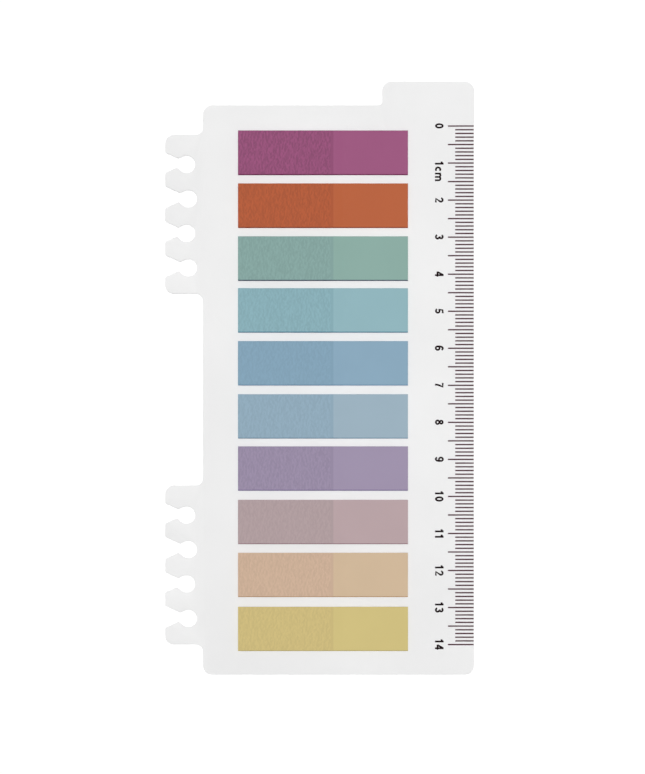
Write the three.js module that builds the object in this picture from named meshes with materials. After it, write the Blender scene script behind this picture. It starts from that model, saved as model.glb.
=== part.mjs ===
// Sticky index tabs: ten pads of film flags on a milky plastic ruler card that clips into a ring binder.
// Millimetres, +Z up. The card lies on its back, with its binder fingers at -X and its measuring edge at +X.
// The origin is on the card's back face, at the middle of the card's whole outline.
import * as THREE from "three";

// One pad of flags
const FLAG_LENGTH = 45.8;
const FLAG_WIDTH = 11.8;
const FLAGS_PER_PAD = 20;
const FILM_THICKNESS = 0.05;
const ADHESIVE_THICKNESS = 0.01;
const ADHESIVE_LENGTH = 25.7; // the glued stretch, from the binder end of the flag
const SETTLE_LENGTH = 3; // past the glue, over which the bare films close up on each other
const STACK_LEAN = 0.2; // how far the lowest flag peeps out below the top one

// How the pads lie on the card
const PAD_GAP = 2.27;
const TOP_MARGIN = 6.9;
const BOTTOM_MARGIN = 6.4;
const BINDER_MARGIN = 9.5; // from the roots of the fingers to the pads
const SCALE_STRIP_WIDTH = 17.9; // the bare strip that carries the printed scale

// The pads from top to bottom. shift is how far each was stuck above its even place.
const PADS = [
  { name: "plum", colour: 0x9e5c82, shift: 0 },
  { name: "rust", colour: 0xb96644, shift: 0 },
  { name: "sage", colour: 0x8daea5, shift: 0 },
  { name: "aqua", colour: 0x91b6be, shift: 0.3 },
  { name: "steel_blue", colour: 0x8baabe, shift: 0.3 },
  { name: "pale_blue", colour: 0x9db3c1, shift: 0.25 },
  { name: "lavender", colour: 0xa093ad, shift: 0.45 },
  { name: "rose", colour: 0xbaa4a7, shift: 0.3 },
  { name: "sand", colour: 0xd0b799, shift: 0.3 },
  { name: "straw", colour: 0xcfbf81, shift: 0 },
];

// The card and its grip tab
const CARD_THICKNESS = 0.5;
const CARD_COLOUR = 0xeeeeee;
const BODY_CORNER_RADIUS = 2.5;
const TAB_WIDTH = 24.8;
const TAB_HEIGHT = 6.4;
const TAB_CORNER_RADIUS = 2.5;
const TAB_ROOT_RADIUS = 1.2;

// The binder fingers, in one group near each end, with a keyhole notch for a ring between each two
const FINGER_LENGTH = 10.2;
const UPPER_GROUP_INSET = 7.95; // from the top of the card's body to the upper group
const LOWER_GROUP_INSET = 8.15; // from the bottom of the card's body to the lower group
const NOTCHES_PER_GROUP = 4;
const NOTCH_PITCH = 9.31;
const NOTCH_RADIUS = 2.33;
const NOTCH_INSET = 6; // from the fingertips to the middle of the two rows of notch centres
const NOTCH_STAGGER = 0.5; // between those two rows: the notches lie in them by turns
const LIP_LENGTH = 0.37; // how far a notch's lips stand out from its round part
const NECK_GAP = 2.45;
const MOUTH_TILT = 8.5; // degrees, towards the top of the card
const FLANK_ANGLE = 24; // degrees, between a finger's flank and its length
const OUTER_FINGER_ABOVE = 8; // from the first notch's centre to the top of its group
const OUTER_FINGER_BELOW = 7; // from the last notch's centre to the bottom of its group
const FINGER_CORNER_RADIUS = 2.5; // at the two outer corners of a group
const FINGERTIP_RADIUS = 0.6;
const LIP_RADIUS = 0.2;
const FINGER_ROOT_RADIUS = 2;

const ARC_TOLERANCE = 0.012; // between a round edge and its chords

// What follows from the sizes above
const padPitch = FLAG_WIDTH + STACK_LEAN + PAD_GAP;
const columnHeight = PADS.length * padPitch - PAD_GAP;
const bodyWidth = BINDER_MARGIN + FLAG_LENGTH + SCALE_STRIP_WIDTH;
const bodyHeight = TOP_MARGIN + columnHeight + BOTTOM_MARGIN;
const right = (bodyWidth + FINGER_LENGTH) / 2;
const bodyLeft = right - bodyWidth;
const fingertips = -right;
const tabTop = (bodyHeight + TAB_HEIGHT) / 2;
const bodyTop = tabTop - TAB_HEIGHT;
const bodyBottom = -tabTop;
const groupHeight = OUTER_FINGER_ABOVE + (NOTCHES_PER_GROUP - 1) * NOTCH_PITCH + OUTER_FINGER_BELOW;
const gluedHeight = FLAGS_PER_PAD * (FILM_THICKNESS + ADHESIVE_THICKNESS);
const bareHeight = FLAGS_PER_PAD * FILM_THICKNESS;

/** Points on the arc round (x, y) from one angle to another, in radians, both ends included. */
function arcPoints(x, y, radius, from, to) {
  const step = 2 * Math.acos(1 - Math.min(ARC_TOLERANCE / radius, 1));
  const count = Math.max(2, Math.ceil(Math.abs(to - from) / step));
  return Array.from({ length: count + 1 }, (_, i) => {
    const angle = from + ((to - from) * i) / count;
    return new THREE.Vector2(x + radius * Math.cos(angle), y + radius * Math.sin(angle));
  });
}

/** A corner of an outline: a point, and the radius that rounds it. */
function corner(x, y, radius = 0) {
  return { point: new THREE.Vector2(x, y), radius };
}

/** The points of a closed outline whose corners are rounded, each arc limited by the edges beside it. */
function roundedOutline(corners) {
  return corners.flatMap(({ point, radius }, i) => {
    if (radius === 0) return [point];
    const before = corners.at(i - 1).point;
    const after = corners[(i + 1) % corners.length].point;
    const toBefore = before.clone().sub(point);
    const toAfter = after.clone().sub(point);
    const halfAngle = toBefore.angleTo(toAfter) / 2;
    const room = Math.min(toBefore.length(), toAfter.length()) / 2;
    const r = Math.min(radius, room * Math.tan(halfAngle));
    const start = point.clone().addScaledVector(toBefore.normalize(), r / Math.tan(halfAngle));
    const inward = toBefore.clone().add(toAfter.normalize()).normalize();
    const centre = point.clone().addScaledVector(inward, r / Math.sin(halfAngle));
    const from = Math.atan2(start.y - centre.y, start.x - centre.x);
    const turn = Math.sign(toAfter.cross(toBefore)) * (Math.PI - 2 * halfAngle);
    return arcPoints(centre.x, centre.y, r, from, from + turn);
  });
}

/** The corners of one keyhole notch, from its upper fingertip round its bottom to its lower one. */
function notchCorners(x, y) {
  const lipReach = NOTCH_RADIUS + LIP_LENGTH;
  const mouth = Math.PI - THREE.MathUtils.degToRad(MOUTH_TILT);
  const halfNeck = Math.asin(NECK_GAP / 2 / lipReach);
  const tangent = Math.acos(NOTCH_RADIUS / lipReach);
  const flank = Math.tan(THREE.MathUtils.degToRad(FLANK_ANGLE));
  const lip = (side) => {
    const angle = mouth - side * halfNeck;
    return corner(x + lipReach * Math.cos(angle), y + lipReach * Math.sin(angle), LIP_RADIUS);
  };
  const tip = (side) => {
    const { point } = lip(side);
    return corner(fingertips, point.y + side * (point.x - fingertips) * flank, FINGERTIP_RADIUS);
  };
  const round = arcPoints(
    x, y, NOTCH_RADIUS,
    mouth - halfNeck - tangent,
    mouth + halfNeck + tangent - 2 * Math.PI,
  );
  return [tip(1), lip(1), ...round.map((p) => corner(p.x, p.y)), lip(-1), tip(-1)];
}

/** The corners of one group of fingers, whose outer edge is at top, going down. */
function groupCorners(top) {
  const notches = Array.from({ length: NOTCHES_PER_GROUP }, (_, i) => {
    const inset = NOTCH_INSET + (i % 2 ? 0.5 : -0.5) * NOTCH_STAGGER;
    return notchCorners(fingertips + inset, top - OUTER_FINGER_ABOVE - i * NOTCH_PITCH);
  });
  return [
    corner(bodyLeft, top, FINGER_ROOT_RADIUS),
    corner(fingertips, top, FINGER_CORNER_RADIUS),
    ...notches.flat(),
    corner(fingertips, top - groupHeight, FINGER_CORNER_RADIUS),
    corner(bodyLeft, top - groupHeight, FINGER_ROOT_RADIUS),
  ];
}

/** The ruler card: one flat sheet with its grip tab, finger groups and notches, cut in one piece. */
function card() {
  const outline = roundedOutline([
    corner(right, bodyBottom, BODY_CORNER_RADIUS),
    corner(right, tabTop, TAB_CORNER_RADIUS),
    corner(right - TAB_WIDTH, tabTop, TAB_CORNER_RADIUS),
    corner(right - TAB_WIDTH, bodyTop, TAB_ROOT_RADIUS),
    corner(bodyLeft, bodyTop, BODY_CORNER_RADIUS),
    ...groupCorners(bodyTop - UPPER_GROUP_INSET),
    ...groupCorners(bodyBottom + LOWER_GROUP_INSET + groupHeight),
    corner(bodyLeft, bodyBottom, BODY_CORNER_RADIUS),
  ]);
  const geometry = new THREE.ExtrudeGeometry(new THREE.Shape(outline), {
    depth: CARD_THICKNESS,
    bevelEnabled: false,
  });
  const material = new THREE.MeshStandardMaterial({ color: CARD_COLOUR, roughness: 0.5 });
  const mesh = new THREE.Mesh(geometry, material);
  mesh.name = "card";
  return mesh;
}

/** A pad of stacked flags, as its side view along the flag, swept over the flag's width and leaning. */
function flagPad({ name, colour, shift }, index) {
  const side = new THREE.Shape([
    new THREE.Vector2(0, 0),
    new THREE.Vector2(FLAG_LENGTH, 0),
    new THREE.Vector2(FLAG_LENGTH, bareHeight),
    new THREE.Vector2(ADHESIVE_LENGTH + SETTLE_LENGTH, bareHeight),
    new THREE.Vector2(ADHESIVE_LENGTH, gluedHeight),
    new THREE.Vector2(0, gluedHeight),
  ]);
  const lean = new THREE.Matrix4().makeShear(0, 0, 0, 0, 0, STACK_LEAN / gluedHeight);
  const geometry = new THREE.ExtrudeGeometry(side, { depth: FLAG_WIDTH, bevelEnabled: false })
    .rotateX(Math.PI / 2)
    .applyMatrix4(lean);
  const material = new THREE.MeshStandardMaterial({ color: colour, roughness: 0.45 });
  const mesh = new THREE.Mesh(geometry, material);
  mesh.name = `flag_pad_${name}`;
  const lowestFlagTop = bodyTop - TOP_MARGIN - STACK_LEAN - index * padPitch;
  mesh.position.set(bodyLeft + BINDER_MARGIN, lowestFlagTop + shift, CARD_THICKNESS);
  return mesh;
}

const indexTabs = new THREE.Group();
indexTabs.add(card(), ...PADS.map(flagPad));

export default indexTabs;
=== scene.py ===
"""Sticky index tabs: pads of film flags on a milky ruler card with binder fingers and a grip tab.

Lengths are in metres, and millimetres are written as a number times MM. The card lies on its back:
+X is its measuring edge, -X its binder fingers, +Y its grip tab, and the flags face +Z.
"""

import logging
from dataclasses import dataclass, field
from enum import Enum
from math import cos, pi, radians, sin
from typing import ClassVar

import bpy
import numpy as np
from mathutils import Matrix, Vector


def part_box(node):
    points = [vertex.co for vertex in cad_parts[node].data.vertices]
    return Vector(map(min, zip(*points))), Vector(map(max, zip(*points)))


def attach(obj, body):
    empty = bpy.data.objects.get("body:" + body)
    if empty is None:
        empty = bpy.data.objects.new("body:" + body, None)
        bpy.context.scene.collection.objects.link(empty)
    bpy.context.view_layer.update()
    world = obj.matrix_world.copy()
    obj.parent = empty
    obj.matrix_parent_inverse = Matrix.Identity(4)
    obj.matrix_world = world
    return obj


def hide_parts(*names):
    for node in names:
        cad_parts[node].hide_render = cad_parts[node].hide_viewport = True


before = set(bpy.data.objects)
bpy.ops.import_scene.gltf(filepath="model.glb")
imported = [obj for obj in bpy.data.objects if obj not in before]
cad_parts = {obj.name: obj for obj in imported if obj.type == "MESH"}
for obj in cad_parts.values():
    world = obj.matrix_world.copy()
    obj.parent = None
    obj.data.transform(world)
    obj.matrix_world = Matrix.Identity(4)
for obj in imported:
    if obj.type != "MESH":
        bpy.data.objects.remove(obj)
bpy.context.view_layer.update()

MM = 0.001
MERGE_DISTANCE = 0.001 * MM
ROOT = "root"
LOG = logging.getLogger("index_tabs")

Colour = tuple[float, float, float, float]
Socket = bpy.types.NodeSocket
Stroke = list[tuple[float, float]]

WHITE: Colour = (1.0, 1.0, 1.0, 1.0)
BOW_STEP = 15


def srgb(red: int, green: int, blue: int) -> Colour:
    """Turn a display colour into the linear one that a shader takes.

    Args:
        red: Red, 0 to 255.
        green: Green, 0 to 255.
        blue: Blue, 0 to 255.

    Returns:
        The linear colour with full alpha.
    """
    parts = (part / 255 for part in (red, green, blue))
    linear = (p / 12.92 if p <= 0.04045 else ((p + 0.055) / 1.055) ** 2.4 for p in parts)
    return (*linear, 1.0)


def times(colour: Colour, factor: float) -> Colour:
    """Return the colour, made lighter or darker by factor and kept in range."""
    return (*(min(part * factor, 1.0) for part in colour[:3]), colour[3])


def under_gloss(colour: Colour, gloss: float = 0.022) -> Colour:
    """Return the plastic's own colour, where colour is what it shows with faint white gloss over it."""
    return (*(max(part - gloss, 0.0) / (1 - gloss) for part in colour[:3]), colour[3])


class Nodes:
    """The shader nodes of one material or one node group."""

    def __init__(self, tree: bpy.types.NodeTree) -> None:
        """Keep the tree that the nodes go into."""
        self.tree = tree

    def add(
        self, kind: str, inputs: dict[str | int, object] | None = None, **settings: object
    ) -> bpy.types.Node:
        """Add a node, set it up and feed it.

        Args:
            kind: The node's Blender type.
            inputs: Input names or numbers, each with the socket that feeds it or its own value.
            settings: The node's own properties.

        Returns:
            The new node.
        """
        node = self.tree.nodes.new(kind)
        for name, value in settings.items():
            setattr(node, name, value)
        for key, value in (inputs or {}).items():
            self.feed(node.inputs[key], value)
        return node

    def feed(self, socket: Socket, value: object) -> None:
        """Give an input what it needs.

        Args:
            socket: The input.
            value: Another node's socket, which is linked, or a value of its own, which is set.
        """
        if isinstance(value, Socket):
            self.tree.links.new(value, socket)
        else:
            socket.default_value = value

    def math(self, operation: str, *values: object) -> Socket:
        """Add a Math node and return its result."""
        return self.add("ShaderNodeMath", dict(enumerate(values)), operation=operation).outputs[0]

    def blend(self, factor: object, first: object, second: object) -> Socket:
        """Add a colour Mix node.

        Args:
            factor: How far the result is from first, 0, to second, 1.
            first: A colour or the socket that gives it.
            second: A colour or the socket that gives it.

        Returns:
            The mixed colour.
        """
        mix = self.add("ShaderNodeMix", data_type="RGBA")
        inputs = {socket.name: socket for socket in mix.inputs if socket.enabled}
        for name, value in (("Factor", factor), ("A", first), ("B", second)):
            self.feed(inputs[name], value)
        return next(socket for socket in mix.outputs if socket.enabled)

    def ramp(
        self, value: object, low: float, high: float, to_low: float = 0.0, to_high: float = 1.0
    ) -> Socket:
        """Add a smooth Map Range node.

        Args:
            value: The value to map.
            low: Where the ramp starts.
            high: Where it ends.
            to_low: The result at and before its start.
            to_high: The result at and past its end.

        Returns:
            The mapped value.
        """
        inputs = {"Value": value, "From Min": low, "From Max": high, "To Min": to_low, "To Max": to_high}
        return self.add("ShaderNodeMapRange", inputs, interpolation_type="SMOOTHSTEP").outputs[0]


class PlasticGrain:
    """The fine matte grain of plastic sheet and film, and slow clouds in how dense it is."""

    GRAIN_RANGE: ClassVar[tuple[float, float]] = (0.2, 0.8)
    CLOUD_RANGE: ClassVar[tuple[float, float]] = (0.3, 0.7)
    tree: ClassVar[bpy.types.NodeTree | None] = None

    @classmethod
    def group(cls) -> bpy.types.NodeTree:
        """Return the node group, which is built on the first call."""
        if cls.tree is None:
            cls.tree = cls.built()
        return cls.tree

    @classmethod
    def built(cls) -> bpy.types.NodeTree:
        """Build the node group.

        Returns:
            A group whose inputs are a place and two scales, and whose outputs are Height and Cloud.
        """
        tree = bpy.data.node_groups.new("plastic_grain", "ShaderNodeTree")
        sockets = tree.interface
        sockets.new_socket("Vector", in_out="INPUT", socket_type="NodeSocketVector")
        sockets.new_socket("Grain Scale", in_out="INPUT", socket_type="NodeSocketFloat")
        sockets.new_socket("Cloud Scale", in_out="INPUT", socket_type="NodeSocketFloat")
        sockets.new_socket("Height", in_out="OUTPUT", socket_type="NodeSocketFloat")
        sockets.new_socket("Cloud", in_out="OUTPUT", socket_type="NodeSocketFloat")
        nodes = Nodes(tree)
        entry = nodes.add("NodeGroupInput").outputs
        grain = {"Vector": entry["Vector"], "Scale": entry["Grain Scale"], "Detail": 3.0}
        cloud = {"Vector": entry["Vector"], "Scale": entry["Cloud Scale"], "Detail": 2.0}
        height = nodes.add("ShaderNodeTexNoise", grain).outputs["Fac"]
        density = nodes.add("ShaderNodeTexNoise", cloud).outputs["Fac"]
        nodes.add("NodeGroupOutput", {"Height": height, "Cloud": nodes.ramp(density, *cls.CLOUD_RANGE)})
        return tree


class Finish:
    """A procedural material with one Principled shader."""

    def __init__(self, name: str) -> None:
        """Start the material and its Object coordinates.

        Args:
            name: The material's name.
        """
        self.made = bpy.data.materials.new(name)
        self.made.use_nodes = True
        self.nodes = Nodes(self.made.node_tree)
        self.shader = self.made.node_tree.nodes["Principled BSDF"]
        self.place = self.nodes.add("ShaderNodeTexCoord").outputs["Object"]

    def grain(self, grain_size: float, cloud_size: float) -> tuple[Socket, Socket]:
        """Place the plastic grain in the material.

        Args:
            grain_size: The size of a grain.
            cloud_size: The size of a cloud.

        Returns:
            The height of the grain, and how far each place is inside a cloud.
        """
        inputs = {"Vector": self.place, "Grain Scale": 1 / grain_size, "Cloud Scale": 1 / cloud_size}
        group = self.nodes.add("ShaderNodeGroup", inputs, node_tree=PlasticGrain.group())
        return group.outputs["Height"], group.outputs["Cloud"]

    def axes(self) -> tuple[Socket, Socket]:
        """Return the places along X and along Y."""
        place = self.nodes.add("ShaderNodeSeparateXYZ", {"Vector": self.place}).outputs
        return place["X"], place["Y"]

    def set(self, **values: object) -> None:
        """Set or feed the shader's inputs, named with an underscore for each space."""
        for name, value in values.items():
            self.nodes.feed(self.shader.inputs[name.replace("_", " ")], value)

    def roughness(self, height: Socket, low: float, high: float) -> Socket:
        """Return a roughness that follows the height of the grain from low to high."""
        return self.nodes.ramp(height, *PlasticGrain.GRAIN_RANGE, low, high)

    def bump(self, height: Socket, distance: float) -> Socket:
        """Add a Bump node for a height and return its normal."""
        return self.nodes.add("ShaderNodeBump", {"Height": height, "Distance": distance}).outputs["Normal"]


@dataclass(frozen=True)
class MilkyPlastic:
    """Frosted polypropylene sheet: pale, a little see-through, with a fine matte grain on both faces."""

    dense: Colour = srgb(240, 240, 240)
    thin: Colour = srgb(244, 244, 244)
    grain_size: float = 0.2 * MM
    cloud_size: float = 36 * MM
    relief: float = 0.006 * MM
    smooth: float = 0.52
    rough: float = 0.66
    gloss: float = 0.3
    glow: float = 0.2
    glow_depth: float = 0.5 * MM

    def material(self) -> bpy.types.Material:
        """Build the material.

        Returns:
            The new material.
        """
        finish = Finish("milky_plastic")
        height, cloud = finish.grain(self.grain_size, self.cloud_size)
        finish.set(
            Base_Color=finish.nodes.blend(cloud, under_gloss(self.dense), under_gloss(self.thin)),
            Roughness=finish.roughness(height, self.smooth, self.rough),
            Specular_IOR_Level=self.gloss,
            Normal=finish.bump(height, self.relief),
            Subsurface_Weight=self.glow,
            Subsurface_Radius=(1.0, 1.0, 1.0),
            Subsurface_Scale=self.glow_depth,
        )
        return finish.made


@dataclass(frozen=True)
class ScaleInk:
    """An ink of the printed scale, a little uneven where it took on the plastic."""

    name: str
    full: Colour
    starved: Colour
    speck_size: float = 0.25 * MM
    patch_size: float = 3 * MM
    worn_from: float = 0.45
    worn_to: float = 0.75
    smooth: float = 0.7
    rough: float = 0.85
    gloss: float = 0.1

    def material(self) -> bpy.types.Material:
        """Build the material.

        Returns:
            The new material.
        """
        finish = Finish(self.name)
        speck, patch = finish.grain(self.speck_size, self.patch_size)
        worn = finish.nodes.ramp(speck, self.worn_from, self.worn_to)
        wear = finish.nodes.math("MULTIPLY", worn, patch)
        finish.set(
            Base_Color=finish.nodes.blend(wear, self.full, self.starved),
            Roughness=finish.roughness(speck, self.smooth, self.rough),
            Specular_IOR_Level=self.gloss,
        )
        return finish.made


@dataclass(frozen=True)
class Film:
    """The film of one pad.

    Attributes:
        glued: Colour of the top flag over the glue.
        free: Its colour past the glue.
        edge: Colour of the cut edges and of the flags that peep out below.
        crease: How far the creases over the glue depart from its colour.
        smooth: Its least roughness.
        rough: Its greatest roughness.
        gloss: Its specular level.
    """

    glued: Colour
    free: Colour
    edge: Colour
    crease: float
    smooth: float = 0.58
    rough: float = 0.7
    gloss: float = 0.3


@dataclass(frozen=True)
class TopFilm:
    """The top flag of a pad: matt film, darker where the glue wets it, with fine creases there.

    Attributes:
        name: The pad's colour name.
        film: What the film is like.
        glue_end: Where along X the glue ends.
        lower_edge: Where along Y the flag's lower edge lies.
        speckle: How strongly the grain mottles the glued zone, against the creases.
        cut_rim: Width of the deeper colour along the lower cut edge.
        zone_blur: How far from the glue's end the colour changes.
        rim_width: Width of the plain strip along the glue's end.
        rim_blur: How far into that strip its colour changes.
        rim_shade: How much darker the strip is.
        mottle: How much the clouds vary the free zone.
        grain_size: The size of a grain.
        cloud_size: The size of a cloud.
        relief: The height of the grain.
    """

    name: str
    film: Film
    glue_end: float
    lower_edge: float
    speckle: float = 2.2
    cut_rim: float = 0.09 * MM
    zone_blur: float = 0.12 * MM
    rim_width: float = 0.9 * MM
    rim_blur: float = 0.36 * MM
    rim_shade: float = 0.975
    mottle: float = 0.01
    grain_size: float = 0.12 * MM
    cloud_size: float = 9 * MM
    relief: float = 0.003 * MM

    def material(self) -> bpy.types.Material:
        """Build the material.

        Returns:
            The new material.
        """
        finish = Finish(f"film_{self.name}")
        nodes = finish.nodes
        along, across = finish.axes()
        rim_start = self.glue_end - self.rim_width
        free = nodes.ramp(along, self.glue_end - self.zone_blur, self.glue_end + self.zone_blur)
        rim = nodes.ramp(along, rim_start, rim_start + self.rim_blur)
        # A narrow rim along the lower cut edge in the edge colour: painted shade.
        inside = nodes.ramp(across, self.lower_edge, self.lower_edge + self.cut_rim)
        crease = nodes.add("ShaderNodeAttribute", attribute_name=FlagPad.CREASE).outputs["Fac"]
        height, cloud = finish.grain(self.grain_size, self.cloud_size)
        middle = nodes.math("SUBTRACT", crease, self.speckle / 2)
        speckled = nodes.math("MULTIPLY_ADD", height, self.speckle, middle)
        wetted = under_gloss(self.film.glued)
        untouched = under_gloss(self.film.free)
        # Crease troughs painted darker and crests lighter: partly the glue's patchiness, partly painted
        # shade and highlight of the relief.
        shaded_trough = times(wetted, 1 - self.film.crease)
        lit_crest = times(wetted, 1 + self.film.crease)
        glued = nodes.blend(speckled, shaded_trough, lit_crest)
        rimmed = nodes.blend(rim, glued, times(wetted, self.rim_shade))
        bare = nodes.blend(cloud, times(untouched, 1 - self.mottle), times(untouched, 1 + self.mottle))
        face = nodes.blend(free, rimmed, bare)
        finish.set(
            Base_Color=nodes.blend(inside, under_gloss(self.film.edge), face),
            Roughness=finish.roughness(height, self.film.smooth, self.film.rough),
            Specular_IOR_Level=self.film.gloss,
            Normal=finish.bump(height, self.relief),
        )
        return finish.made


@dataclass(frozen=True)
class StackedFilm:
    """The flags below the top one: the same film, deeper in colour where many edges lie together, and
    darker still on the lower side with painted shade.

    Attributes:
        name: The pad's colour name.
        film: What the film is like.
        lower_edge: Where along Y the top flag's lower edge lies.
        lower_band: How far above it the edge colour, painted shade, turns into that of the other sides.
        side_shade: How much darker than the film those sides are.
        layer_shade: How dark the darkest layers are against the colour of their side.
        layer_shine: How light the lightest ones are.
        grain_size: The size of a grain.
        cloud_size: The size of a cloud.
    """

    name: str
    film: Film
    lower_edge: float
    lower_band: float = 0.4 * MM
    side_shade: float = 0.72
    layer_shade: float = 0.9
    layer_shine: float = 1.04
    grain_size: float = 0.1 * MM
    cloud_size: float = 5 * MM

    def material(self) -> bpy.types.Material:
        """Build the material.

        Returns:
            The new material.
        """
        finish = Finish(f"stack_{self.name}")
        nodes = finish.nodes
        height, cloud = finish.grain(self.grain_size, self.cloud_size)
        across = finish.axes()[1]
        # The lower side takes the edge colour with its painted shade; the other sides a deeper tone of the
        # free film.
        above = nodes.ramp(across, self.lower_edge, self.lower_edge + self.lower_band)
        side = times(under_gloss(self.film.free), self.side_shade)
        lower, other = (
            nodes.blend(cloud, times(colour, self.layer_shade), times(colour, self.layer_shine))
            for colour in (under_gloss(self.film.edge), side)
        )
        finish.set(
            Base_Color=nodes.blend(above, lower, other),
            Roughness=finish.roughness(height, self.film.smooth, self.film.rough),
            Specular_IOR_Level=self.film.gloss,
        )
        return finish.made


def deselect_all() -> None:
    """Deselect every object, so that an operator acts on the new one alone."""
    if bpy.context.mode != "OBJECT":
        bpy.ops.object.mode_set(mode="OBJECT")
    bpy.ops.object.select_all(action="DESELECT")


def select_only(piece: bpy.types.Object) -> None:
    """Make piece the one selected and active object."""
    deselect_all()
    piece.select_set(True)
    bpy.context.view_layer.objects.active = piece


def edit(piece: bpy.types.Object) -> None:
    """Enter edit mode on piece with all of its mesh selected."""
    select_only(piece)
    bpy.ops.object.mode_set(mode="EDIT")
    bpy.ops.mesh.select_all(action="SELECT")


def leave_edit() -> None:
    """Go back to object mode."""
    bpy.ops.object.mode_set(mode="OBJECT")


def placed(name: str, data: bpy.types.ID) -> bpy.types.Object:
    """Return a new object in the scene that holds data, at the origin."""
    piece = bpy.data.objects.new(name, data)
    bpy.context.collection.objects.link(piece)
    return piece


def apply_modifier(piece: bpy.types.Object, kind: str, **settings: object) -> None:
    """Add a modifier to a piece and apply it.

    Args:
        piece: The piece.
        kind: The modifier's Blender type.
        settings: The modifier's own properties.
    """
    select_only(piece)
    modifier = piece.modifiers.new(kind.lower(), kind)
    for name, value in settings.items():
        setattr(modifier, name, value)
    bpy.ops.object.modifier_apply(modifier=modifier.name)


def smooth_by_angle(piece: bpy.types.Object, angle: float) -> None:
    """Shade piece smooth except at edges sharper than angle."""
    select_only(piece)
    bpy.ops.object.shade_smooth_by_angle(angle=angle)


def copy_of(piece: bpy.types.Object, shift: Vector) -> bpy.types.Object:
    """Return a copy of piece with a mesh of its own, moved by shift within the mesh."""
    twin = placed(piece.name, piece.data.copy())
    twin.data.transform(Matrix.Translation(shift))
    return twin


def joined(name: str, parts: list[bpy.types.Object]) -> bpy.types.Object:
    """Join parts into one piece.

    Args:
        name: The new piece's name.
        parts: The objects that go into it, and end in it.

    Returns:
        The joined piece.
    """
    deselect_all()
    for part in parts:
        part.select_set(True)
    bpy.context.view_layer.objects.active = parts[0]
    bpy.ops.object.join()
    parts[0].name = parts[0].data.name = name
    return parts[0]


def points_of(piece: bpy.types.Object) -> np.ndarray:
    """Return the piece's vertices as rows of x, y, z."""
    flat = np.empty(len(piece.data.vertices) * 3)
    piece.data.vertices.foreach_get("co", flat)
    return flat.reshape(-1, 3)


def set_points(piece: bpy.types.Object, points: np.ndarray) -> None:
    """Move the piece's vertices to new places."""
    piece.data.vertices.foreach_set("co", points.ravel())
    piece.data.update()


def hand_over(piece: bpy.types.Object, slot: str, material: bpy.types.Material, *nodes: str) -> None:
    """Dress a finished piece, tie it to the object and log it.

    Args:
        piece: The finished piece.
        slot: Not used.
        material: What it is made of.
        nodes: The nodes that it stands for.
    """
    piece.data.materials.clear()
    piece.data.materials.append(material)
    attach(piece, ROOT)
    if nodes:
        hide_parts(*nodes)
    LOG.info("%s: %d faces", piece.name, len(piece.data.polygons))


@dataclass
class RulerCard:
    """The die-cut sheet: body, grip tab and binder fingers in one piece.

    Attributes:
        node: The node whose outline it takes.
        cut_radius: How round the cut edges are.
        cut_steps: How many faces go round such an edge.
        flat_turn: Faces that turn less than this are one face.
        smooth_turn: The sharpest edge that is shaded smooth.
        sharp_turn: Edges sharper than this are cut edges.
        finish: What the sheet is made of.
    """

    node: str = "card"
    cut_radius: float = 0.12 * MM
    cut_steps: int = 3
    flat_turn: float = radians(0.5)
    smooth_turn: float = radians(30)
    sharp_turn: float = radians(50)
    finish: MilkyPlastic = field(default_factory=MilkyPlastic)

    def build(self) -> None:
        """Copy the node's outline, round its cut edges and dress it."""
        card = placed("ruler_card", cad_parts[self.node].data.copy())
        edit(card)
        bpy.ops.mesh.remove_doubles(threshold=MERGE_DISTANCE)
        bpy.ops.mesh.dissolve_limited(angle_limit=self.flat_turn)
        leave_edit()
        apply_modifier(
            card, "BEVEL", width=self.cut_radius, segments=self.cut_steps,
            limit_method="ANGLE", angle_limit=self.sharp_turn, use_clamp_overlap=True,
        )
        smooth_by_angle(card, self.smooth_turn)
        hand_over(card, "card_plastic", self.finish.material(), self.node)


class Tick(Enum):
    """The lines of the scale, each with how far it starts from the card's measuring edge."""

    LONG = 7.07 * MM
    SHORT = 5.10 * MM


def bow(x: float, y: float, wide: float, tall: float, start: float, end: float) -> Stroke:
    """Draw a bowed pen stroke.

    Args:
        x: Centre of the bow's ellipse.
        y: Centre of the bow's ellipse.
        wide: Half of its width.
        tall: Half of its height.
        start: Angle at which the stroke starts, in degrees.
        end: Angle at which it ends.

    Returns:
        Points about BOW_STEP degrees apart, both ends included.
    """
    count = max(3, round(abs(end - start) / BOW_STEP))
    turns = (radians(start + (end - start) * i / count) for i in range(count + 1))
    return [(x + wide * cos(turn), y + tall * sin(turn)) for turn in turns]


def half_turned(strokes: list[Stroke], width: float) -> list[Stroke]:
    """Return the strokes turned half a turn about the middle of a glyph one unit high."""
    return [[(width - x, 1 - y) for x, y in stroke] for stroke in strokes]


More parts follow.
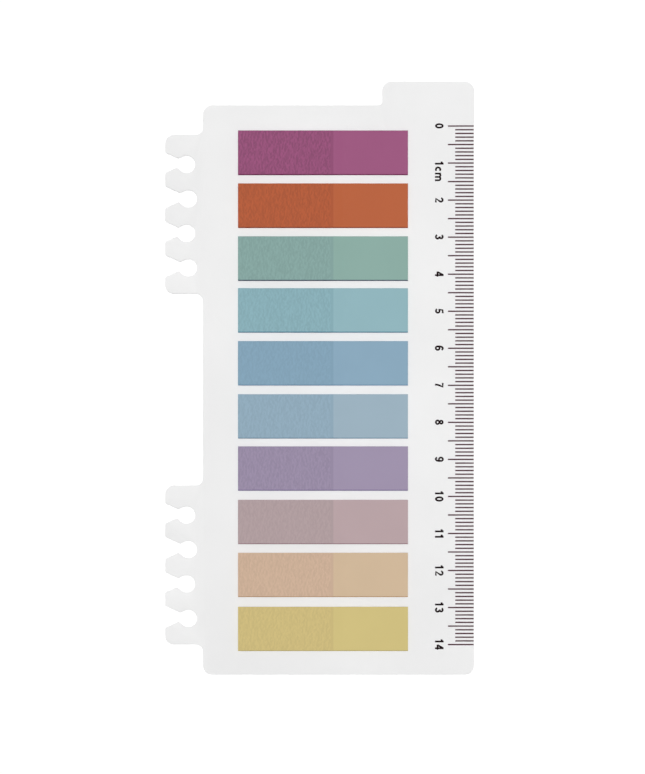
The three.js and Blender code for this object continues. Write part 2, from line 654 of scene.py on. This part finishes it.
@dataclass(frozen=True)
class Numerals:
    """Plain bold numerals, drawn as pen strokes in a box one unit high.

    Attributes:
        pen: The width of a stroke.
        digit_space: From one digit to the next.
        letter_space: From one letter to the next.
    """

    pen: float = 0.208
    digit_space: float = 0.27
    letter_space: float = 0.12

    def glyph(self, sign: str) -> tuple[float, list[Stroke]]:
        """Draw one sign.

        Args:
            sign: A digit, or a letter of the unit.

        Returns:
            Its width, and the middle lines of its strokes.
        """
        low, high = self.pen / 2, 1 - self.pen / 2
        six = [bow(0.29, 0.31, 0.2, 0.225, 0, 360), bow(0.31, 0.5, 0.22, 0.415, 38, 195)]
        signs = {
            "0": (0.58, [bow(0.29, 0.5, 0.2, high - 0.5, 0, 360)]),
            "1": (0.36, [[(0.27, 0), (0.27, 1)], bow(-0.03, 0.99, 0.3, 0.25, -80, -5)]),
            "2": (0.58, [bow(0.29, 0.69, 0.2, high - 0.69, 175, -35) + [(0.13, low), (0.58, low)]]),
            "3": (0.58, [
                bow(0.27, 0.72, 0.18, high - 0.72, 165, -85) + [(0.22, 0.53)],
                bow(0.27, 0.3, 0.21, 0.3 - low, 80, -165),
            ]),
            "4": (0.6, [[(0.43, 0), (0.43, 1)], [(0.4, 0.93), (0.07, 0.32)], [(0, 0.29), (0.6, 0.29)]]),
            "5": (0.58, [
                [(0.54, high), (0.17, high), (0.11, 0.5)] + bow(0.27, 0.32, 0.21, 0.32 - low, 125, -160),
            ]),
            "6": (0.58, six),
            "7": (0.56, [[(0.02, high), (0.48, high), (0.33, 0.6), (0.24, 0.3), (0.21, 0)]]),
            "8": (0.58, [
                bow(0.29, 0.73, 0.17, high - 0.73, 0, 360),
                bow(0.29, 0.3, 0.205, 0.3 - low, 0, 360),
            ]),
            "9": (0.58, half_turned(six, 0.58)),
            "c": (0.58, [bow(0.32, 0.36, 0.23, 0.36 - low, 48, 312)]),
            "m": (0.98, [
                [(0.1, 0), (0.1, 0.7)],
                bow(0.295, 0.43, 0.195, 0.2, 180, 0) + [(0.49, 0)],
                bow(0.685, 0.43, 0.195, 0.2, 180, 0) + [(0.88, 0)],
            ]),
        }
        return signs[sign]

    def word(self, text: str) -> tuple[float, list[Stroke]]:
        """Set digits or letters side by side.

        Args:
            text: All digits or all letters.

        Returns:
            Their width, and the middle lines of their strokes.
        """
        space = self.digit_space if text.isdigit() else self.letter_space
        reach, strokes = 0.0, []
        for sign in text:
            width, drawn = self.glyph(sign)
            strokes += [[(x + reach, y) for x, y in stroke] for stroke in drawn]
            reach += width + space
        return reach - space, strokes


@dataclass
class PrintedScale:
    """The centimetre scale printed along the card's measuring edge.

    Attributes:
        zero_below_top: From the top of the grip tab to the first line.
        centimetres: The last number.
        long_every: How many lines there are from one long line to the next.
        line_width: The width of each line.
        edge_margin: From the lines to the measuring edge.
        ink_height: How thick the ink lies.
        ink_spread: How round the lines' corners are.
        digit_baseline: From the measuring edge to the numbers' feet.
        digit_top: From the measuring edge to their heads.
        digit_lead: How far each number's middle lies above its line.
        unit: What the scale counts.
        unit_gap: From the first number to the unit.
        numerals: How the numbers are drawn.
        line_ink: What the lines are printed in.
        number_ink: What the numbers are printed in.
    """

    zero_below_top: float = 12.02 * MM
    centimetres: int = 14
    long_every: int = 5
    line_width: float = 0.355 * MM
    edge_margin: float = 0.12 * MM
    ink_height: float = 0.012 * MM
    ink_spread: float = 0.05 * MM
    digit_baseline: float = 10.56 * MM
    digit_top: float = 8.24 * MM
    digit_lead: float = 0.04 * MM
    unit: str = "cm"
    unit_gap: float = 0.6 * MM
    numerals: Numerals = field(default_factory=Numerals)
    line_ink: ScaleInk = ScaleInk("line_ink", srgb(72, 26, 40), srgb(88, 46, 58))
    number_ink: ScaleInk = ScaleInk("number_ink", srgb(30, 14, 18), srgb(46, 32, 36))

    def __post_init__(self) -> None:
        """Find the card's measuring edge and face."""
        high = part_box("card")[1]
        self.edge = high.x
        self.face = high.z
        self.zero = high.y - self.zero_below_top

    def build(self) -> None:
        """Print the lines and the numerals."""
        hand_over(self.lines(), "scale_ink", self.line_ink.material())
        hand_over(self.numbers(), "scale_ink", self.number_ink.material())

    def line(self, kind: Tick) -> bpy.types.Object:
        """Model one printed line at the scale's zero.

        Args:
            kind: Whether the line is long or short.

        Returns:
            A thin closed slab of ink with rounded corners.
        """
        length = kind.value - self.edge_margin
        middle = (self.edge - self.edge_margin - length / 2, self.zero, self.face)
        deselect_all()
        bpy.ops.mesh.primitive_plane_add(size=1, location=(0, 0, 0))
        mark = bpy.context.object
        mark.name = f"{kind.name.lower()}_line"
        edit(mark)
        bpy.ops.transform.resize(value=(length, self.line_width, 1))
        bpy.ops.transform.translate(value=middle)
        bpy.ops.mesh.bevel(offset=self.ink_spread, segments=2, affect="VERTICES")
        bpy.ops.mesh.select_all(action="SELECT")
        bpy.ops.mesh.extrude_region_move(TRANSFORM_OT_translate={"value": (0, 0, self.ink_height)})
        bpy.ops.mesh.select_all(action="SELECT")
        bpy.ops.mesh.normals_make_consistent(inside=False)
        leave_edit()
        return mark

    def lines(self) -> bpy.types.Object:
        """Model the scale's lines, one every millimetre.

        Returns:
            All the lines as one piece.
        """
        masters = {kind: self.line(kind) for kind in Tick}
        marks = []
        for step in range(self.centimetres * 10 + 1):
            kind = Tick.SHORT if step % self.long_every else Tick.LONG
            marks.append(copy_of(masters[kind], Vector((0, -step * MM, 0))))
        for master in masters.values():
            bpy.data.objects.remove(master)
        return joined("scale_lines", marks)

    def numbers(self) -> bpy.types.Object:
        """Model the numbers, which read down the card with their feet towards the flags.

        Returns:
            All the numbers and the unit as one piece.
        """
        size = self.digit_baseline - self.digit_top
        words = []
        for value in range(self.centimetres + 1):
            width, strokes = self.numerals.word(str(value))
            start = self.zero - value * 10 * MM + self.digit_lead + width * size / 2
            words.append(self.lettering(strokes, start, size))
            if value == 1:
                unit_start = start - width * size - self.unit_gap
                words.append(self.lettering(self.numerals.word(self.unit)[1], unit_start, size))
        return joined("scale_numbers", words)

    def lettering(self, strokes: list[Stroke], start: float, size: float) -> bpy.types.Object:
        """Draw strokes on the card as thin ribbons of ink.

        Args:
            strokes: Their middle lines, in a box one unit high.
            start: Where along the card the box's left side comes to lie.
            size: The height of the box on the card.

        Returns:
            The drawn strokes as one mesh.
        """
        curve = bpy.data.curves.new("pen_strokes", "CURVE")
        curve.dimensions = "3D"
        curve.bevel_depth = self.numerals.pen / 2
        curve.bevel_resolution = 1
        curve.use_fill_caps = True
        for stroke in strokes:
            closed = np.allclose(stroke[0], stroke[-1])
            points = stroke[:-1] if closed else stroke
            spline = curve.splines.new("POLY")
            spline.points.add(len(points) - 1)
            spline.use_cyclic_u = closed
            for place, (x, y) in zip(spline.points, points):
                place.co = (x, y, 0, 1)
        select_only(placed("word", curve))
        bpy.ops.object.convert(target="MESH")
        word = bpy.context.object
        flat = self.ink_height / self.numerals.pen
        word.data.transform(
            Matrix.Translation((self.edge - self.digit_baseline, start, self.face + self.ink_height / 2))
            @ Matrix.Rotation(-pi / 2, 4, "Z")
            @ Matrix.Diagonal((size, size, flat, 1))
        )
        return word


@dataclass
class FlagPad:
    """One pad: a top flag with its creases, over a stack of flags whose edges show below it.

    Attributes:
        name: The pad's colour name.
        film: What its film is like.
        seed: Where its own random draws start.
        flags: How many flags lie in it.
        thickness: The thickness of one film.
        film_share: The part of that thickness that is modelled, so that flags stay apart.
        glue: The thickness of the glue on one film.
        glue_length: How far the glue reaches from the binder-side end.
        settle_length: Past the glue, over which the films close up on each other.
        lean: How far the lowest flag peeps out below the top one.
        stack_jitter: How far each flag may lie out of line.
        stack_grid: Columns and rows of a flag in the stack.
        crease_height: The height of a crease, from trough to crest.
        crease_width: How far a crease fades out to its sides.
        crease_length: How far it fades out along itself.
        crease_pitch: From one crest to the next.
        crease_area: The part of the flag that each crease has to itself.
        crease_tilt: How far creases turn from straight across the flag.
        crease_fade: Over which the creases end at the end of the glue.
        length_spread: The shortest and longest crease, against crease_length.
        width_spread: The narrowest and widest crease, against crease_width.
        wave_height: How far the top flag's upper edge waves inwards.
        wave_length: The length of such a wave.
        wave_reach: How far from that edge the waves reach.
        top_columns: Columns of the top flag.
        top_rows: Rows of the top flag.
        glued_columns: The part of its columns that lies over the glue and its end.
        smooth_turn: The sharpest edge that is shaded smooth.
    """

    CREASE: ClassVar[str] = "crease"

    name: str
    film: Film
    seed: int
    flags: int = 20
    thickness: float = 0.05 * MM
    film_share: float = 0.9
    glue: float = 0.01 * MM
    glue_length: float = 25.7 * MM
    settle_length: float = 3 * MM
    lean: float = 0.2 * MM
    stack_jitter: float = 0.02 * MM
    stack_grid: tuple[int, int] = (24, 2)
    crease_height: float = 0.012 * MM
    crease_width: float = 0.3 * MM
    crease_length: float = 0.33 * MM
    crease_pitch: float = 1.0 * MM
    crease_area: float = 0.2 * MM * MM
    crease_tilt: float = radians(13)
    crease_fade: float = 0.5 * MM
    length_spread: tuple[float, float] = (0.6, 1.5)
    width_spread: tuple[float, float] = (0.75, 1.35)
    wave_height: float = 0.04 * MM
    wave_length: float = 13.4 * MM
    wave_reach: float = 1.2 * MM
    top_columns: int = 340
    top_rows: int = 72
    glued_columns: float = 0.82
    smooth_turn: float = radians(40)

    def __post_init__(self) -> None:
        """Find the pad's place, and start its own random draws."""
        self.node = f"flag_pad_{self.name}"
        low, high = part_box(self.node)
        self.corner = np.array((low.x, high.y, low.z))
        self.length = high.x - low.x
        self.width = high.y - low.y - self.lean
        self.draws = np.random.default_rng(self.seed)

    def build(self) -> None:
        """Model and dress the stack and the top flag."""
        slot = f"film_{self.name}"
        glue_end = self.corner[0] + self.glue_length
        lower_edge = self.corner[1] - self.width
        top = TopFilm(self.name, self.film, glue_end, lower_edge)
        hand_over(self.top_flag(), slot, top.material(), self.node)
        below = StackedFilm(self.name, self.film, lower_edge)
        hand_over(self.stack(), slot, below.material(), self.node)

    def sheet(self, name: str, columns: int, rows: int) -> bpy.types.Object:
        """Model one flag's upper face, with its binder-side top corner at the origin.

        Args:
            name: The flag's name.
            columns: How many faces it has along it.
            rows: How many it has across it.

        Returns:
            The face as a flat grid.
        """
        deselect_all()
        bpy.ops.mesh.primitive_grid_add(x_subdivisions=columns, y_subdivisions=rows, size=1)
        flag = bpy.context.object
        flag.name = name
        edit(flag)
        bpy.ops.transform.resize(value=(self.length, self.width, 1))
        bpy.ops.transform.translate(value=(self.length / 2, -self.width / 2, 0))
        leave_edit()
        return flag

    def rise(self, along: np.ndarray, level: int) -> np.ndarray:
        """Find how high a flag lies above the card.

        Args:
            along: Places along the flag, from its binder-side end.
            level: How many flags lie up to and with this one.

        Returns:
            The height of its upper face at each place.
        """
        past = np.clip((along - self.glue_length) / self.settle_length, 0, 1)
        glued = 1 - past * past * (3 - 2 * past)
        return level * (self.thickness + self.glue * glued)

    def stack(self) -> bpy.types.Object:
        """Model the flags below the top one, each a thin sheet a little out of line with the next.

        Returns:
            The flags as one piece.
        """
        master = self.sheet("stacked_flag", *self.stack_grid)
        sheets = []
        for level in range(1, self.flags):
            flag = copy_of(master, Vector())
            points = points_of(flag)
            points[:, 2] = self.rise(points[:, 0], level)
            slip = self.draws.uniform(-self.stack_jitter, self.stack_jitter, 2)
            points[:, :2] += slip
            points[:, 1] -= self.lean * (1 - level / self.flags)
            set_points(flag, points + self.corner)
            sheets.append(flag)
        bpy.data.objects.remove(master)
        stack = joined(f"stacked_flags_{self.name}", sheets)
        apply_modifier(stack, "SOLIDIFY", thickness=self.thickness * self.film_share, offset=-1)
        return stack

    def creases(self, points: np.ndarray) -> np.ndarray:
        """Find how far each point stands on a crease.

        Args:
            points: Places on the flag, from its binder-side top corner.

        Returns:
            One value for each point, from 0 in a trough to 1 on a crest, and 0.5 past the glue.
        """
        count = int(self.glue_length * self.width / self.crease_area)
        heads = self.draws.uniform((0, -self.width), (self.glue_length, 0), (count, 2))
        tilts = self.draws.normal(0, self.crease_tilt, count)
        lengths = self.crease_length * self.draws.uniform(*self.length_spread, count)
        widths = self.crease_width * self.draws.uniform(*self.width_spread, count)
        signs = self.draws.choice((-1.0, 1.0), count)
        height = np.zeros(len(points))
        x, y = np.ascontiguousarray(points[:, :2].T)
        for head, tilt, length, width, sign in zip(heads, tilts, lengths, widths, signs):
            dx, dy = x - head[0], y - head[1]
            across = dx * np.cos(tilt) + dy * np.sin(tilt)
            along = dy * np.cos(tilt) - dx * np.sin(tilt)
            ripple = np.cos(2 * pi * across / self.crease_pitch)
            height += sign * ripple * np.exp(-((across / width) ** 2) - (along / length) ** 2)
        fade = np.clip((self.glue_length - points[:, 0]) / self.crease_fade, 0, 1)
        return 0.5 + (np.clip(0.5 + 0.5 * height, 0, 1) - 0.5) * fade

    def top_flag(self) -> bpy.types.Object:
        """Model the top flag with its creases over the glue and the slight waves of its upper edge.

        Returns:
            The flag, which carries an attribute of how far each point stands on a crease.
        """
        flag = self.sheet(f"top_flag_{self.name}", self.top_columns, self.top_rows)
        points = points_of(flag)
        even = (0, self.glued_columns * self.length, self.length)
        dense = (0, self.glue_length + self.crease_fade, self.length)
        points[:, 0] = np.interp(points[:, 0], even, dense)
        crease = self.creases(points)
        phase = self.draws.uniform(0, 2 * pi)
        near_edge = np.clip(1 + points[:, 1] / self.wave_reach, 0, 1) ** 2
        wave = self.wave_height * (np.sin(2 * pi * points[:, 0] / self.wave_length + phase) - 1)
        points[:, 2] = self.rise(points[:, 0], self.flags) + self.crease_height * (crease - 1)
        points[:, 1] += wave * near_edge
        set_points(flag, points + self.corner)
        mark = flag.data.attributes.new(self.CREASE, "FLOAT", "POINT")
        mark.data.foreach_set("value", crease)
        apply_modifier(flag, "SOLIDIFY", thickness=self.thickness * self.film_share, offset=-1)
        smooth_by_angle(flag, self.smooth_turn)
        return flag


@dataclass(frozen=True)
class KeyLight:
    """A broad far-off studio light, even all over the object, that comes from nearly overhead."""

    strength: float = 2.54
    lean: float = radians(6)
    spread: float = radians(12)

    def build(self) -> None:
        """Hang the light, leaning towards the card's grip tab."""
        lamp = bpy.data.lights.new("key_light", "SUN")
        lamp.energy = self.strength
        lamp.angle = self.spread
        placed("key_light", lamp).rotation_euler = (-self.lean, 0.0, 0.0)


@dataclass
class Studio:
    """The pale floor, the soft light and the camera that looks straight down.

    Attributes:
        floor_size: The side of the floor.
        floor_drop: How far it lies below the card.
        floor_glow: How much lighter it looks to the camera, so that it shows as plain white.
        floor_roughness: How matt it is.
        sky: The strength of the light from all round.
        key: The lamp.
        lens: The camera's focal length, in its own millimetres.
        sensor: The longer side of its sensor, in the same.
        clip: The nearest and farthest that it sees.
        framed_length: What the picture's height covers on the card's face.
        aim: The point of the card that it looks at.
    """

    floor_size: float = 6.0
    floor_drop: float = 0.02 * MM
    floor_glow: float = 0.07
    floor_roughness: float = 0.9
    sky: float = 0.16
    key: KeyLight = field(default_factory=KeyLight)
    lens: float = 135.0
    sensor: float = 36.0
    clip: tuple[float, float] = (0.01, 20.0)
    framed_length: float = 208.96 * MM
    aim: tuple[float, float] = (0.77 * MM, -2.41 * MM)

    def build(self) -> None:
        """Make the floor, the light and the camera."""
        self.floor()
        self.light()
        self.camera()

    def floor(self) -> None:
        """Make the floor, which isn't part of the object."""
        deselect_all()
        bpy.ops.mesh.primitive_plane_add(size=self.floor_size, location=(0, 0, -self.floor_drop))
        floor = bpy.context.object
        floor.name = "floor"
        finish = Finish("floor_paper")
        ray = finish.nodes.add("ShaderNodeLightPath").outputs["Is Camera Ray"]
        glow = finish.nodes.math("MULTIPLY", ray, self.floor_glow)
        finish.set(Base_Color=WHITE, Roughness=self.floor_roughness, Specular_IOR_Level=0.0)
        finish.set(Emission_Color=WHITE, Emission_Strength=glow)
        floor.data.materials.append(finish.made)

    def light(self) -> None:
        """Light the object faintly from all round, and with the key light."""
        world = bpy.data.worlds.new("sky")
        world.use_nodes = True
        bpy.context.scene.world = world
        nodes = Nodes(world.node_tree)
        sky = world.node_tree.nodes["Background"].inputs
        ray = nodes.add("ShaderNodeLightPath").outputs
        seen = nodes.math("MAXIMUM", ray["Is Camera Ray"], ray["Is Transmission Ray"])
        strength = nodes.add("ShaderNodeMapRange", {"Value": seen, "To Min": self.sky, "To Max": 1.0})
        nodes.feed(sky["Color"], WHITE)
        nodes.feed(sky["Strength"], strength.outputs[0])
        self.key.build()

    def camera(self) -> None:
        """Look straight down on the card, with its long side upright in the frame."""
        lens = bpy.data.cameras.new("camera")
        lens.lens = self.lens
        lens.sensor_width = self.sensor
        lens.clip_start, lens.clip_end = self.clip
        camera = placed("camera", lens)
        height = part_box("card")[1].z + self.framed_length * self.lens / self.sensor
        camera.location = (*self.aim, height)
        bpy.context.scene.camera = camera
        bpy.context.scene.view_settings.view_transform = "Standard"


# Each pad's glued, free and edge colours and its crease shading. The edge colours are deeper tones of the
# film darkened with painted shade, the shade along each stack's lower side.
PADS = {
    "plum": Film(srgb(148, 80, 119), srgb(158, 88, 128), srgb(142, 50, 104), 0.17),
    "rust": Film(srgb(178, 91, 57), srgb(186, 99, 62), srgb(182, 84, 34), 0.115),
    "sage": Film(srgb(134, 166, 161), srgb(141, 174, 165), srgb(42, 70, 102), 0.082),
    "aqua": Film(srgb(137, 175, 184), srgb(146, 183, 191), srgb(52, 134, 168), 0.072),
    "steel_blue": Film(srgb(132, 164, 185), srgb(139, 170, 191), srgb(118, 158, 192), 0.05),
    "pale_blue": Film(srgb(145, 171, 188), srgb(157, 179, 193), srgb(114, 153, 180), 0.063),
    "lavender": Film(srgb(153, 140, 166), srgb(160, 147, 173), srgb(100, 78, 144), 0.08),
    "rose": Film(srgb(177, 158, 160), srgb(186, 164, 167), srgb(146, 114, 120), 0.051),
    "sand": Film(srgb(205, 176, 152), srgb(210, 185, 155), srgb(180, 136, 82), 0.06),
    "straw": Film(srgb(206, 187, 126), srgb(210, 193, 129), srgb(172, 154, 64), 0.054),
}


def main() -> None:
    """Build the card, its printed scale, the pads and the studio, and note the sizes."""
    logging.basicConfig(level=logging.INFO, format="%(name)s %(message)s")
    Studio().build()
    RulerCard().build()
    PrintedScale().build()
    for seed, (name, film) in enumerate(PADS.items(), start=11):
        FlagPad(name, film, seed).build()
    bpy.context.view_layer.update()


if __name__ == "__main__":
    main()
